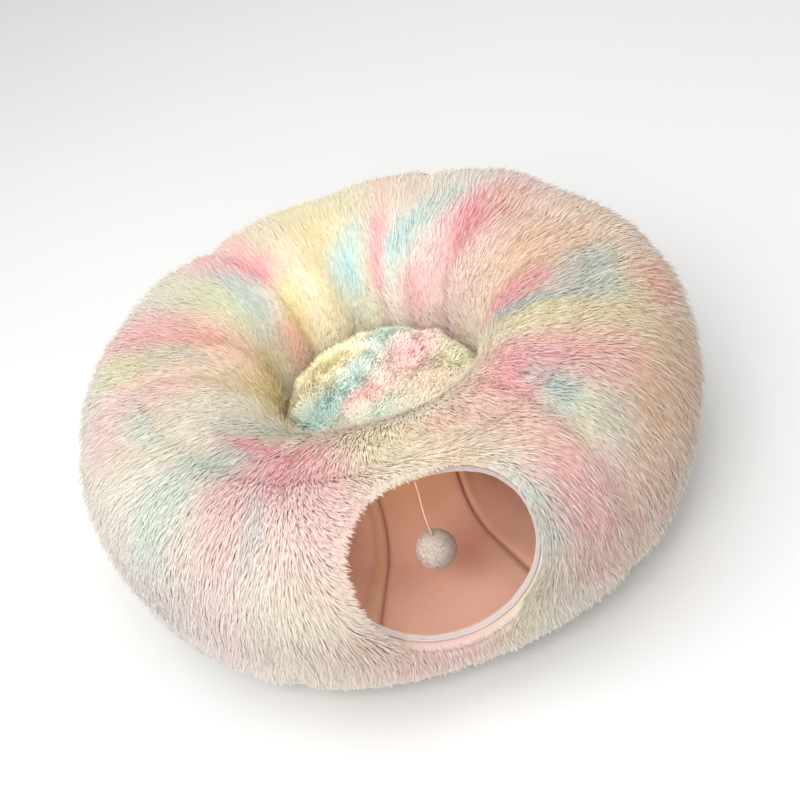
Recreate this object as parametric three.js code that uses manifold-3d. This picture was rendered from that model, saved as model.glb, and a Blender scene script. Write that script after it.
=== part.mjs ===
import * as THREE from 'three';
import { mergeVertices } from 'three/addons/utils/BufferGeometryUtils.js';
import Module from 'manifold-3d';

// Cat hideaway bed: a ring-shaped plush tunnel with one round entrance, a filled round
// cushion in its hole and a pompom that hangs inside the entrance.
// Millimetres. The origin is on the floor under the centre, +Z is up, the entrance faces -Y.
// Azimuth is 0 at the entrance and grows towards +X.

// Ring, measured to the tips of the pile.
const outerRadius = 400;
const holeRadius = 128;
const crestHeight = 264;
const wideLineHeight = 117;
const bottomSag = 7;
const topRoundness = 2.5;
const bottomRoundness = 2.8;
const sectionSteps = 16;
const columnStep = 7.8;

// Layers of the wall, counted inwards from the tips of the pile.
const plushThickness = 20;
const layerGap = 0.5;
const liningThickness = 2;
const seamGap = 0.3;
const seamGrooveDepth = 5;
const seamGrooveHalfWidth = 2.4;

// Turns of the section, away from its crest, between which a seam's groove fades out underneath.
const seamFade = { from: 100, to: 150 };
// A gather deepens over this much turn, and fades out between two turns under the hole's wall.
const gatherRise = 60;
const gatherFade = { from: 186, to: 235 };

// Entrance: a round cut in the curved front panel, bound with tape.
const entranceRadius = 103;
const entranceMiddle = 84;
const entranceFlare = 0.5;
const bindingThickness = 4;
const bindingGap = 0.6;
const bindingTop = 9;
const bindingBottom = 25;
const bindingRounding = 0.3;
const bindingSteps = 36;
const plugOutermost = -30;
const plugInnermost = 36;

// Centre cushion, to the tips of its pile.
const cushionGap = 0.3;
const cushionFill = 0.6;
const cushionWideHeight = 118;
const cushionCrown = 170;
const cushionSag = 6;
const cushionLift = 7;
const cushionRoundness = 2.6;
const cushionRings = 10;

// Pompom on its elastic string.
const pompomRadius = 23;
const pompomHeight = 106;
const stringDiameter = 2.4;
const stringSides = 8;
const stringSteps = 18;
const stringSway = 0.8;
const stringGap = 0.3;

const colours = {
  cream: 0xf4ead6,
  pink: 0xf6cbd0,
  yellow: 0xf3eabb,
  mint: 0xd3e6de,
  peach: 0xf5d9c2,
  rose: 0xf3c3c9,
  lining: 0xd09b82,
  binding: 0xd3d6e6,
  cushion: 0xe6e3c4,
  pompom: 0xf4eee8,
  string: 0xf0cfc0,
};

// How far the outline stands out from a true circle.
const outline = [
  { azimuth: -180, bulge: -12 },
  { azimuth: -165, bulge: 0 },
  { azimuth: -150, bulge: -8 },
  { azimuth: -135, bulge: 14 },
  { azimuth: -120, bulge: 6 },
  { azimuth: -90, bulge: 0 },
  { azimuth: -60, bulge: -3 },
  { azimuth: -30, bulge: 2 },
  { azimuth: 0, bulge: -4 },
  { azimuth: 30, bulge: 1 },
  { azimuth: 60, bulge: -6 },
  { azimuth: 90, bulge: 1 },
  { azimuth: 120, bulge: -6 },
  { azimuth: 135, bulge: 11 },
  { azimuth: 150, bulge: 7 },
  { azimuth: 165, bulge: 5 },
  { azimuth: 180, bulge: -12 },
];

// Gathers round the hole: soft troughs, deepest on the wall of the hole. Each begins at the
// section turn "start", where 90 is the crest and 180 is the wall of the hole.
const gathers = [
  { azimuth: -178, depth: 13, halfWidth: 7, start: 92 },
  { azimuth: -150, depth: 9, halfWidth: 7, start: 98 },
  { azimuth: -121, depth: 10, halfWidth: 7, start: 112 },
  { azimuth: -92, depth: 10, halfWidth: 8, start: 95 },
  { azimuth: -62, depth: 8, halfWidth: 7, start: 112 },
  { azimuth: -30, depth: 4, halfWidth: 7, start: 118 },
  { azimuth: -5, depth: 5, halfWidth: 8, start: 122 },
  { azimuth: 20, depth: 5, halfWidth: 7, start: 120 },
  { azimuth: 48, depth: 7, halfWidth: 7, start: 116 },
  { azimuth: 75, depth: 8, halfWidth: 6, start: 104 },
  { azimuth: 92, depth: 8, halfWidth: 7, start: 92 },
  { azimuth: 130, depth: 14, halfWidth: 6, start: 86 },
  { azimuth: 152, depth: 5, halfWidth: 6, start: 100 },
  { azimuth: 166, depth: 8, halfWidth: 5, start: 88 },
];

// Panels run between two seams, given by their azimuths.
const plushPanels = [
  { name: 'plush_panel_front', from: -30, to: 32, colour: 'peach' },
  { name: 'plush_panel_right_front', from: 32, to: 92, colour: 'yellow' },
  { name: 'plush_panel_right_back', from: 92, to: 152, colour: 'pink' },
  { name: 'plush_panel_back', from: 152, to: 210, colour: 'mint' },
  { name: 'plush_panel_left_back', from: 210, to: 268, colour: 'rose' },
  { name: 'plush_panel_left_front', from: 268, to: 330, colour: 'cream' },
];
const liningPanels = [
  { name: 'lining_panel_front', from: -18.5, to: 20 },
  { name: 'lining_panel_right_front', from: 20, to: 85 },
  { name: 'lining_panel_right_back', from: 85, to: 146 },
  { name: 'lining_panel_back', from: 146, to: 204 },
  { name: 'lining_panel_left_back', from: 204, to: 274 },
  { name: 'lining_panel_left_front', from: 274, to: 341.5 },
];

const liningTop = plushThickness + layerGap;
const liningUnderside = liningTop + liningThickness;

const radians = (degrees) => degrees * Math.PI / 180;
const wrap = (degrees) => ((degrees + 180) % 360 + 360) % 360 - 180;

function smooth(value, low, high) {
  const share = Math.min(1, Math.max(0, (value - low) / (high - low)));
  return share * share * (3 - 2 * share);
}

function outlineBulge(azimuth) {
  const turned = wrap(azimuth);
  const next = Math.max(1, outline.findIndex((row) => row.azimuth >= turned));
  const low = outline[next - 1];
  const high = outline[next];
  return low.bulge + (high.bulge - low.bulge) * smooth(turned, low.azimuth, high.azimuth);
}

function gatherDepth(azimuth, turn) {
  let depth = 0;
  for (const row of gathers) {
    const offset = wrap(azimuth - row.azimuth) / row.halfWidth;
    const reach = smooth(turn, row.start, row.start + gatherRise)
      * (1 - smooth(turn, gatherFade.from, gatherFade.to));
    depth += row.depth * Math.exp(-offset * offset) * reach;
  }
  return depth;
}

function seamDepth(azimuth, turn) {
  const distances = plushPanels.map((panel) => Math.abs(wrap(azimuth - panel.from)));
  const offset = Math.min(...distances) / seamGrooveHalfWidth;
  const reach = 1 - smooth(Math.abs(wrap(turn - 90)), seamFade.from, seamFade.to);
  return seamGrooveDepth * Math.exp(-offset * offset) * reach;
}

// The cross-section before it is gathered, as radius and height. The turn is 0 on the outside,
// 90 on the crest, 180 on the wall of the hole and 270 underneath.
function plainSection(azimuth, turn) {
  const outside = outerRadius + outlineBulge(azimuth);
  const middle = (outside + holeRadius) / 2;
  const halfWidth = (outside - holeRadius) / 2;
  const c = Math.cos(radians(turn));
  const s = Math.sin(radians(turn));
  const upper = s >= 0;
  const power = 2 / (upper ? topRoundness : bottomRoundness);
  const halfHeight = upper ? crestHeight - wideLineHeight : wideLineHeight + bottomSag;
  return {
    radius: middle + halfWidth * Math.sign(c) * Math.abs(c) ** power,
    height: wideLineHeight + halfHeight * Math.sign(s) * Math.abs(s) ** power,
  };
}

// A point of the ring at a depth under the tips of the pile. Underneath, the ring lies flat.
function ringPoint(azimuth, turn, depth) {
  const point = plainSection(azimuth, turn);
  const before = plainSection(azimuth, turn - 1);
  const after = plainSection(azimuth, turn + 1);
  const alongRadius = after.radius - before.radius;
  const alongHeight = after.height - before.height;
  const length = Math.hypot(alongRadius, alongHeight);
  const sunk = depth + gatherDepth(azimuth, turn) + seamDepth(azimuth, turn);
  const radius = point.radius - sunk * alongHeight / length;
  const height = Math.max(depth, point.height + sunk * alongRadius / length);
  const angle = radians(azimuth);
  return new THREE.Vector3(radius * Math.sin(angle), -radius * Math.cos(angle), height);
}

// Every layer has its columns on the seams and gathers, and evenly between them, so that the
// lining and the cushion lie evenly against the plush.
function sharedColumns() {
  const first = plushPanels[0].from;
  const marks = [first, first + 360];
  for (const azimuth of [...plushPanels, ...liningPanels].map((panel) => panel.from)) {
    marks.push(azimuth);
  }
  for (const row of gathers) {
    marks.push(row.azimuth < first ? row.azimuth + 360 : row.azimuth);
  }
  const ordered = [...new Set(marks)].sort((a, b) => a - b);
  const columns = [];
  for (let i = 0; i < ordered.length - 1; i += 1) {
    const span = ordered[i + 1] - ordered[i];
    const steps = Math.max(1, Math.round(span / columnStep));
    for (let step = 0; step < steps; step += 1) {
      columns.push(ordered[i] + span * step / steps);
    }
  }
  return columns;
}

function columnsBetween(from, to) {
  const turned = [...columns, ...columns.map((azimuth) => azimuth + 360)];
  return [from, ...turned.filter((azimuth) => azimuth > from + 0.01 && azimuth < to - 0.01), to];
}

// Triangles are pushed with one side out, or turned over where they face into the wall.
function addTriangle(triangles, a, b, c, turnedOver) {
  if (turnedOver) {
    triangles.push(a, c, b);
  } else {
    triangles.push(a, b, c);
  }
}

// Two rows of points, each a closed loop, joined by a band of triangles.
function addBand(triangles, first, second, count, turnedOver = false) {
  for (let i = 0; i < count; i += 1) {
    const next = (i + 1) % count;
    addTriangle(triangles, first + i, second + i, second + next, turnedOver);
    addTriangle(triangles, first + i, second + next, first + next, turnedOver);
  }
}

// A closed row of points joined to one more point.
function addFan(triangles, row, count, middle, turnedOver = false) {
  for (let i = 0; i < count; i += 1) {
    addTriangle(triangles, row + i, row + (i + 1) % count, middle, turnedOver);
  }
}

function bodyOf(points, triangles) {
  const geometry = new THREE.BufferGeometry();
  const positions = points.flatMap((point) => point.toArray());
  geometry.setAttribute('position', new THREE.Float32BufferAttribute(positions, 3));
  geometry.setIndex(triangles);
  return geometry;
}

// One layer of the ring's wall between two seams.
function wallPanel(panel, outerDepth, innerDepth) {
  const azimuths = columnsBetween(panel.from, panel.to);
  const last = azimuths.length - 1;
  const points = [];
  const triangles = [];
  azimuths.forEach((azimuth, index) => {
    const inset = index === 0 ? seamGap / 2 : 0;
    const shift = index === last ? -seamGap / 2 : inset;
    const angle = radians(azimuth);
    const aside = new THREE.Vector3(Math.cos(angle), Math.sin(angle), 0).multiplyScalar(shift);
    for (const depth of [outerDepth, innerDepth]) {
      for (let step = 0; step < sectionSteps; step += 1) {
        points.push(ringPoint(azimuth, step * 360 / sectionSteps, depth).add(aside));
      }
    }
  });
  for (let index = 0; index < last; index += 1) {
    const here = index * 2 * sectionSteps;
    const next = here + 2 * sectionSteps;
    addBand(triangles, here, next, sectionSteps);
    addBand(triangles, here + sectionSteps, next + sectionSteps, sectionSteps, true);
  }
  const end = last * 2 * sectionSteps;
  addBand(triangles, sectionSteps, 0, sectionSteps);
  addBand(triangles, end, end + sectionSteps, sectionSteps);
  return bodyOf(points, triangles);
}

// The turn at which a length along the front, measured up from the widest line, is reached.
function turnAtLength(wanted) {
  const direction = Math.sign(wanted);
  let turn = 0;
  let length = 0;
  let point = ringPoint(0, 0, bindingTop);
  while (length < Math.abs(wanted)) {
    const next = ringPoint(0, turn + direction, bindingTop);
    const step = next.distanceTo(point);
    const share = Math.min(1, (Math.abs(wanted) - length) / step);
    turn += direction * share;
    length += step;
    point = next;
  }
  return turn;
}

// A point beside the entrance's edge: "outwards" of the edge, and at a depth in the wall.
function entrancePoint(step, outwards, depth) {
  const angle = step / bindingSteps * 2 * Math.PI;
  const radius = entranceRadius + outwards;
  const turn = turnAtLength(entranceMiddle + radius * Math.sin(angle));
  const front = -ringPoint(0, turn, bindingTop).y;
  const azimuth = Math.asin(radius * Math.cos(angle) / front) * 180 / Math.PI;
  return ringPoint(azimuth, turn, depth);
}

// The round plug that is cut from the wall. Its edge is square to the cloth and flares a little
// towards the tips of the pile.
function entrancePlug() {
  const clear = bindingThickness + bindingGap;
  const middleDepth = (bindingTop + bindingBottom) / 2;
  const levels = [plugOutermost, 0, bindingTop, middleDepth, bindingBottom, plugInnermost];
  const points = [];
  const triangles = [];
  for (const depth of levels) {
    const flare = Math.max(0, bindingTop - depth) * entranceFlare;
    for (let step = 0; step < bindingSteps; step += 1) {
      points.push(entrancePoint(step, clear + flare, depth));
    }
  }
  for (let level = 0; level < levels.length - 1; level += 1) {
    addBand(triangles, level * bindingSteps, (level + 1) * bindingSteps, bindingSteps);
  }
  const middleTurn = turnAtLength(entranceMiddle);
  points.push(ringPoint(0, middleTurn, levels[0]), ringPoint(0, middleTurn, levels.at(-1)));
  addFan(triangles, 0, bindingSteps, points.length - 2);
  addFan(triangles, (levels.length - 1) * bindingSteps, bindingSteps, points.length - 1, true);
  return bodyOf(points, triangles);
}

// Binding tape: a rounded strip folded over the edge of plush and lining.
function entranceBinding() {
  const round = bindingThickness * bindingRounding;
  const section = [
    { outwards: round, depth: bindingTop },
    { outwards: bindingThickness - round, depth: bindingTop },
    { outwards: bindingThickness, depth: bindingTop + round },
    { outwards: bindingThickness, depth: bindingBottom - round },
    { outwards: bindingThickness - round, depth: bindingBottom },
    { outwards: round, depth: bindingBottom },
    { outwards: 0, depth: bindingBottom - round },
    { outwards: 0, depth: bindingTop + round },
  ];
  const points = [];
  const triangles = [];
  for (let step = 0; step < bindingSteps; step += 1) {
    for (const corner of section) {
      points.push(entrancePoint(step, corner.outwards, corner.depth));
    }
  }
  for (let step = 0; step < bindingSteps; step += 1) {
    const next = (step + 1) % bindingSteps;
    addBand(triangles, next * section.length, step * section.length, section.length);
  }
  return bodyOf(points, triangles);
}

// The filled cushion: flat underneath, full at the sides, where it presses into the gathers of
// the hole, crowned, and higher on its left.
function centreCushion() {
  const points = [];
  const triangles = [];
  const power = 2 / cushionRoundness;
  for (let ring = 1; ring < cushionRings; ring += 1) {
    const turn = -90 + 180 * ring / cushionRings;
    const s = Math.sin(radians(turn));
    const share = Math.cos(radians(turn)) ** power;
    const halfHeight = s >= 0 ? cushionCrown - cushionWideHeight : cushionWideHeight + cushionSag;
    const level = cushionWideHeight + halfHeight * Math.sign(s) * Math.abs(s) ** power;
    for (const azimuth of columns) {
      const wall = holeRadius + cushionFill * gatherDepth(azimuth, 180) - cushionGap;
      const x = wall * share * Math.sin(radians(azimuth));
      const y = -wall * share * Math.cos(radians(azimuth));
      const lift = Math.max(0, s) * cushionLift * -x / holeRadius;
      points.push(new THREE.Vector3(x, y, Math.max(0, level + lift)));
    }
  }
  const count = columns.length;
  for (let ring = 0; ring < cushionRings - 2; ring += 1) {
    addBand(triangles, (ring + 1) * count, ring * count, count);
  }
  points.push(new THREE.Vector3(0, 0, cushionCrown), new THREE.Vector3(0, 0, 0));
  addFan(triangles, (cushionRings - 2) * count, count, points.length - 2);
  addFan(triangles, 0, count, points.length - 1, true);
  return bodyOf(points, triangles);
}

// Where the string hangs: under the crest of the front panel.
function hangingPoint() {
  return new THREE.Vector3(0, ringPoint(0, 90, 0).y, crestHeight - liningUnderside - stringGap);
}

function pompom() {
  const geometry = new THREE.SphereGeometry(pompomRadius, 16, 10);
  geometry.rotateX(Math.PI / 2);
  geometry.translate(0, hangingPoint().y, pompomHeight);
  return geometry;
}

function pompomString() {
  const top = hangingPoint();
  top.z -= stringGap;
  const bottom = new THREE.Vector3(0, top.y, pompomHeight + pompomRadius + stringGap);
  const length = top.z - bottom.z;
  const upper = new THREE.Vector3(stringSway, top.y, bottom.z + length * 0.66);
  const lower = new THREE.Vector3(-stringSway, top.y, bottom.z + length * 0.33);
  const route = new THREE.CatmullRomCurve3([top, upper, lower, bottom]);
  const outlinePoints = [];
  for (let side = 0; side < stringSides; side += 1) {
    const angle = side / stringSides * 2 * Math.PI;
    outlinePoints.push(new THREE.Vector2(Math.cos(angle), Math.sin(angle)));
  }
  const section = new THREE.Shape(outlinePoints.map((p) => p.multiplyScalar(stringDiameter / 2)));
  return new THREE.ExtrudeGeometry(section, { steps: stringSteps, extrudePath: route });
}

const wasm = await Module();
wasm.setup();

function manifoldOf(geometry) {
  const plain = geometry.clone();
  plain.deleteAttribute('normal');
  plain.deleteAttribute('uv');
  const merged = mergeVertices(plain, 1e-4);
  return new wasm.Manifold(new wasm.Mesh({
    numProp: 3,
    vertProperties: Float32Array.from(merged.attributes.position.array),
    triVerts: Uint32Array.from(merged.index.array),
  }));
}

function geometryOf(manifold) {
  const mesh = manifold.getMesh();
  const geometry = new THREE.BufferGeometry();
  const positions = Float32Array.from(mesh.vertProperties);
  geometry.setAttribute('position', new THREE.BufferAttribute(positions, 3));
  geometry.setIndex(new THREE.BufferAttribute(Uint32Array.from(mesh.triVerts), 1));
  return geometry;
}

function cutEntrance(geometry) {
  return geometryOf(manifoldOf(geometry).subtract(plug));
}

const group = new THREE.Group();
group.name = 'cat_hideaway_bed';

function addPiece(name, geometry, colour, roughness) {
  geometry.computeVertexNormals();
  const material = new THREE.MeshStandardMaterial({ color: colours[colour], roughness, metalness: 0 });
  const mesh = new THREE.Mesh(geometry, material);
  mesh.name = name;
  group.add(mesh);
}

const columns = sharedColumns();
const plug = manifoldOf(entrancePlug());

for (const panel of plushPanels) {
  const wall = wallPanel(panel, 0, plushThickness);
  const isFront = panel.name === 'plush_panel_front';
  addPiece(panel.name, isFront ? cutEntrance(wall) : wall, panel.colour, 0.95);
}
for (const panel of liningPanels) {
  const wall = wallPanel(panel, liningTop, liningUnderside);
  const isFront = panel.name === 'lining_panel_front';
  addPiece(panel.name, isFront ? cutEntrance(wall) : wall, 'lining', 0.85);
}
addPiece('entrance_binding', entranceBinding(), 'binding', 0.7);
addPiece('centre_cushion', centreCushion(), 'cushion', 0.95);
addPiece('pompom', pompom(), 'pompom', 0.95);
addPiece('pompom_string', pompomString(), 'string', 0.6);

export default group;
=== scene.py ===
import itertools
import math
import bpy
import numpy as np
from mathutils import Matrix, Vector


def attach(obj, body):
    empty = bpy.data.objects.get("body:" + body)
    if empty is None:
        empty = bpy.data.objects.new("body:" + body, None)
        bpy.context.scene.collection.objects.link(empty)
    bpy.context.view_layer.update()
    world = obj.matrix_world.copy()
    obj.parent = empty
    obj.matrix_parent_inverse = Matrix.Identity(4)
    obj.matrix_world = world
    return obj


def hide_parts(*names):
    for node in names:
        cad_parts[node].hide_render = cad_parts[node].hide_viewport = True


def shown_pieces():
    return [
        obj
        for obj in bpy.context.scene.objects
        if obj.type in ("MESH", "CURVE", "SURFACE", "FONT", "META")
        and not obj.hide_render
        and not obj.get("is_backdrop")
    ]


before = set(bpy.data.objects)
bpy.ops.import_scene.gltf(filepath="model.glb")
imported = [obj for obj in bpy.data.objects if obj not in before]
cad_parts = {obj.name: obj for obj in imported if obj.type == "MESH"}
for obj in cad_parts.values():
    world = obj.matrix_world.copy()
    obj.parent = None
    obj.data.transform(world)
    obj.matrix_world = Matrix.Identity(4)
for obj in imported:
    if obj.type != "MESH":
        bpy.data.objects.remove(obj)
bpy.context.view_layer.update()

cameraView = {
    "lens": 54.0,
    "distance": 1.5546,
    "elevation": 39.16,
    "roll": -18.57,
    "lookAt": (0.0, 0.0, 0.130),
    "shift": (0.0186, -0.0056),
}


def deselectAll():
    bpy.ops.object.select_all(action="DESELECT")


def selectOnly(piece):
    deselectAll()
    piece.select_set(True)
    bpy.context.view_layer.objects.active = piece


def placeNew(name, data):
    made = bpy.data.objects.new(name, data)
    bpy.context.scene.collection.objects.link(made)
    return made


def makeCamera():
    camera = placeNew("camera", bpy.data.cameras.new("camera"))
    camera.data.sensor_width = 36.0
    camera.data.lens = cameraView["lens"]
    camera.data.shift_x, camera.data.shift_y = cameraView["shift"]
    camera.data.clip_end = 50.0
    elevation, roll = math.radians(cameraView["elevation"]), math.radians(cameraView["roll"])
    right = Vector((1, 0, 0))
    up = Vector((0, math.sin(elevation), math.cos(elevation)))
    back = Vector((0, -math.cos(elevation), math.sin(elevation)))
    turnedRight = right * math.cos(roll) + up * math.sin(roll)
    turnedUp = up * math.cos(roll) - right * math.sin(roll)
    placed = Matrix((turnedRight, turnedUp, back)).transposed().to_4x4()
    placed.translation = Vector(cameraView["lookAt"]) + back * cameraView["distance"]
    camera.matrix_world = placed
    bpy.context.scene.camera = camera


makeCamera()
print("camera stands")

# The ring's sizes, as in the part's source.
ring = {
    "outerRadius": 0.400,
    "holeRadius": 0.128,
    "crestHeight": 0.264,
    "wideLineHeight": 0.117,
    "bottomSag": 0.007,
    "topRoundness": 2.5,
    "bottomRoundness": 2.8,
    "seamGrooveDepth": 0.005,
    "seamGrooveHalfWidth": 2.4,
    "seamGap": 0.0003,
}
outlineRows = [  # azimuth, how far the outline stands out from a circle
    (-180, -0.012), (-165, 0.0), (-150, -0.008), (-135, 0.014), (-120, 0.006), (-90, 0.0),
    (-60, -0.003), (-30, 0.002), (0, -0.004), (30, 0.001), (60, -0.006), (90, 0.001),
    (120, -0.006), (135, 0.011), (150, 0.007), (165, 0.005), (180, -0.012),
]
gathers = [  # azimuth, depth, half width in degrees, turn at which it starts
    (-178, 0.013, 7, 92), (-150, 0.009, 7, 98), (-121, 0.010, 7, 112), (-92, 0.010, 8, 95),
    (-62, 0.008, 7, 112), (-30, 0.004, 7, 118), (-5, 0.005, 8, 122), (20, 0.005, 7, 120),
    (48, 0.007, 7, 116), (75, 0.008, 6, 104), (92, 0.008, 7, 92), (130, 0.014, 6, 86),
    (152, 0.005, 6, 100), (166, 0.008, 5, 88),
]
plushPanels = [  # name, seam at its start, seam at its end, material slot
    ("front", -30, 32, "peach_plush"), ("right_front", 32, 92, "yellow_plush"),
    ("right_back", 92, 152, "pink_plush"), ("back", 152, 210, "mint_plush"),
    ("left_back", 210, 268, "rose_plush"), ("left_front", 268, 330, "cream_plush"),
]
liningPanels = [
    # name, seam at its start, seam at its end, 1 where the end's seam allowance shows as a fold
    ("front", -18.5, 20, 0), ("right_front", 20, 85, 1), ("right_back", 85, 146, 1),
    ("back", 146, 204, 1), ("left_back", 204, 274, 1), ("left_front", 274, 341.5, 1),
]
# Soft folds of the outer cloth that are too small for its solid.
folds = [  # azimuth, half width, middle turn, half length in turn, depth
    (-91, 4.0, 138, 26, 0.006), (-106, 4.0, 128, 24, -0.004), (-134, 5.0, 112, 26, -0.004),
    (-160, 4.0, 120, 30, 0.004), (74, 3.0, 84, 9, 0.0035), (83, 3.0, 86, 9, 0.0035),
    (92, 3.0, 84, 9, 0.003), (101, 3.0, 86, 9, 0.0035), (111, 3.0, 84, 9, 0.003),
    (141, 3.5, 110, 30, 0.005), (119, 4.0, 120, 26, -0.003), (60, 7.0, 96, 34, -0.003),
    (38, 4.0, 60, 40, 0.003), (-42, 16.0, 130, 28, 0.009), (-128, 16.0, 162, 34, 0.009),
]


def wrapDegrees(value):
    return (value + 180.0) % 360.0 - 180.0


def softStep(value, low, high):
    share = np.clip((value - low) / (high - low), 0.0, 1.0)
    return share * share * (3.0 - 2.0 * share)


def outlineBulge(azimuth):
    places, bulges = np.array(outlineRows).T
    turned = wrapDegrees(azimuth)
    row = np.clip(np.searchsorted(places, turned), 1, len(places) - 1)
    share = softStep(turned, places[row - 1], places[row])
    return bulges[row - 1] + (bulges[row] - bulges[row - 1]) * share


def gatherDepth(azimuth, turn):
    depth = 0.0
    for middle, deepest, halfWidth, start in gathers:
        across = np.exp(-(wrapDegrees(azimuth - middle) / halfWidth) ** 2)
        depth = depth + deepest * across * softStep(turn, start, start + 60)
    return depth * (1.0 - softStep(turn, 186, 235))


def seamDistance(azimuth):
    return np.min([np.abs(wrapDegrees(azimuth - panel[1])) for panel in plushPanels], axis=0)


def seamDepth(azimuth, turn):
    across = np.exp(-(seamDistance(azimuth) / ring["seamGrooveHalfWidth"]) ** 2)
    along = 1.0 - softStep(np.abs(wrapDegrees(turn - 90.0)), 100, 150)
    return ring["seamGrooveDepth"] * across * along


def plainSection(azimuth, turn):
    outside = ring["outerRadius"] + outlineBulge(azimuth)
    middle, halfWidth = (outside + ring["holeRadius"]) / 2, (outside - ring["holeRadius"]) / 2
    c, s = np.cos(np.radians(turn)), np.sin(np.radians(turn))
    upper = s >= 0
    power = 2.0 / np.where(upper, ring["topRoundness"], ring["bottomRoundness"])
    above = ring["crestHeight"] - ring["wideLineHeight"]
    below = ring["wideLineHeight"] + ring["bottomSag"]
    radius = middle + halfWidth * np.sign(c) * np.abs(c) ** power
    rise = np.where(upper, above, below) * np.sign(s) * np.abs(s) ** power
    return radius, ring["wideLineHeight"] + rise


def ringPoint(azimuth, turn, depth):
    azimuth, turn, depth = np.broadcast_arrays(azimuth, turn, depth)
    azimuth, turn = azimuth.astype(float), turn.astype(float)
    radius, height = plainSection(azimuth, turn)
    radiusBefore, heightBefore = plainSection(azimuth, turn - 1.0)
    radiusAfter, heightAfter = plainSection(azimuth, turn + 1.0)
    alongRadius, alongHeight = radiusAfter - radiusBefore, heightAfter - heightBefore
    length = np.hypot(alongRadius, alongHeight)
    sunk = depth + gatherDepth(azimuth, turn) + seamDepth(azimuth, turn)
    radius = radius - sunk * alongHeight / length
    height = np.maximum(depth, height + sunk * alongRadius / length)
    angle = np.radians(azimuth)
    return np.stack([radius * np.sin(angle), -radius * np.cos(angle), height], axis=-1)


def foldDepth(azimuth, turn):
    depth = 0.0
    for middle, halfWidth, middleTurn, halfTurn, deepest in folds:
        across = wrapDegrees(azimuth - middle) / halfWidth
        along = (turn - middleTurn) / halfTurn
        depth = depth + deepest * np.exp(-across ** 2 - along ** 2)
    return depth


def hashed(cells, seed):
    mixed = cells @ np.array([127.1, 311.7, 74.7]) + seed * 53.3
    return (np.sin(mixed) * 43758.5453) % 1.0


# Smooth noise from -1 to 1 whose bumps are about that size.
def softNoise(points, size, seed):
    scaled = points / size + seed * 17.0
    low = np.floor(scaled)
    share = softStep(scaled - low, 0.0, 1.0)
    total = 0.0
    for corner in itertools.product((0, 1), repeat=3):
        weight = np.prod(np.where(corner, share, 1.0 - share), axis=-1)
        total = total + weight * hashed(low + corner, seed)
    return total * 2.0 - 1.0


# The entrance, as in the part's source: its edge is a circle on the curved front.
entrance = {
    "radius": 0.103,
    "middle": 0.084,
    "flare": 0.5,
    "bindingThickness": 0.004,
    "bindingGap": 0.0006,
    "bindingTop": 0.009,
    "bindingBottom": 0.025,
}
frontTurns = np.arange(-90.0, 201.0)
frontPoints = ringPoint(0.0, frontTurns, entrance["bindingTop"])
frontLengths = np.concatenate(
    [[0.0], np.cumsum(np.linalg.norm(np.diff(frontPoints, axis=0), axis=1))])
frontLengths -= frontLengths[90]


# The azimuth and turn of a place beside the entrance's edge.
def entranceAngles(angle, outwards):
    radius = entrance["radius"] + outwards
    turn = np.interp(entrance["middle"] + radius * np.sin(angle), frontLengths, frontTurns)
    front = np.interp(turn, frontTurns, -frontPoints[:, 1])
    return np.degrees(np.arcsin(radius * np.cos(angle) / front)), turn


# A point beside the entrance's edge, outwards of it and at a depth in the wall.
def entrancePoint(angle, outwards, depth):
    return ringPoint(*entranceAngles(angle, outwards), depth)


# How far a place is to the right of the entrance's middle and above it, along the cloth.
def entrancePlace(azimuth, turn):
    front = np.interp(turn, frontTurns, -frontPoints[:, 1])
    aside = front * np.sin(np.radians(wrapDegrees(azimuth)))
    above = np.interp(turn, frontTurns, frontLengths) - entrance["middle"]
    behind = np.abs(wrapDegrees(azimuth)) > 80
    return np.where(behind, 9.0, aside), above


# A piece from an array of points and one or more arrays of faces.
def meshPiece(name, points, faces):
    groups = faces if isinstance(faces, list) else [faces]
    sizes = np.concatenate([np.full(len(group), group.shape[1]) for group in groups])
    corners = np.concatenate([group.ravel() for group in groups])
    mesh = bpy.data.meshes.new(name)
    mesh.vertices.add(len(points))
    mesh.vertices.foreach_set("co", np.asarray(points, np.float32).ravel())
    mesh.loops.add(len(corners))
    mesh.loops.foreach_set("vertex_index", corners.astype(np.int32))
    mesh.polygons.add(len(sizes))
    starts = np.concatenate([[0], np.cumsum(sizes)[:-1]])
    mesh.polygons.foreach_set("loop_start", starts.astype(np.int32))
    mesh.update(calc_edges=True)
    mesh.validate()
    mesh.shade_smooth()
    return placeNew(name, mesh)


def meshPoints(piece):
    points = np.zeros(len(piece.data.vertices) * 3)
    piece.data.vertices.foreach_get("co", points)
    return points.reshape(-1, 3)


# The three corners of each triangle, as three arrays.
def trianglePoints(piece):
    mesh = piece.data
    mesh.calc_loop_triangles()
    corners = np.zeros(len(mesh.loop_triangles) * 3, np.int32)
    mesh.loop_triangles.foreach_get("vertices", corners)
    return meshPoints(piece)[corners].reshape(-1, 3, 3).transpose(1, 0, 2)


# The point that each corner of a face stands on.
def cornerIndices(piece):
    corners = np.zeros(len(piece.data.loops), np.int32)
    piece.data.loops.foreach_get("vertex_index", corners)
    return corners


def writeDye(mesh, tints):
    opaque = np.concatenate([tints, np.ones((len(tints), 1))], axis=1)
    dye = mesh.attributes.new("dye", "FLOAT_COLOR", "POINT")
    dye.data.foreach_set("color", opaque.astype(np.float32).ravel())


def writeValues(mesh, name, values):
    mark = mesh.attributes.new(name, "FLOAT", "POINT")
    mark.data.foreach_set("value", np.asarray(values, np.float32))


def writeChart(mesh, name, places):
    chart = mesh.uv_layers.new(name=name)
    chart.data.foreach_set("uv", np.asarray(places, np.float32).ravel())


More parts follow.
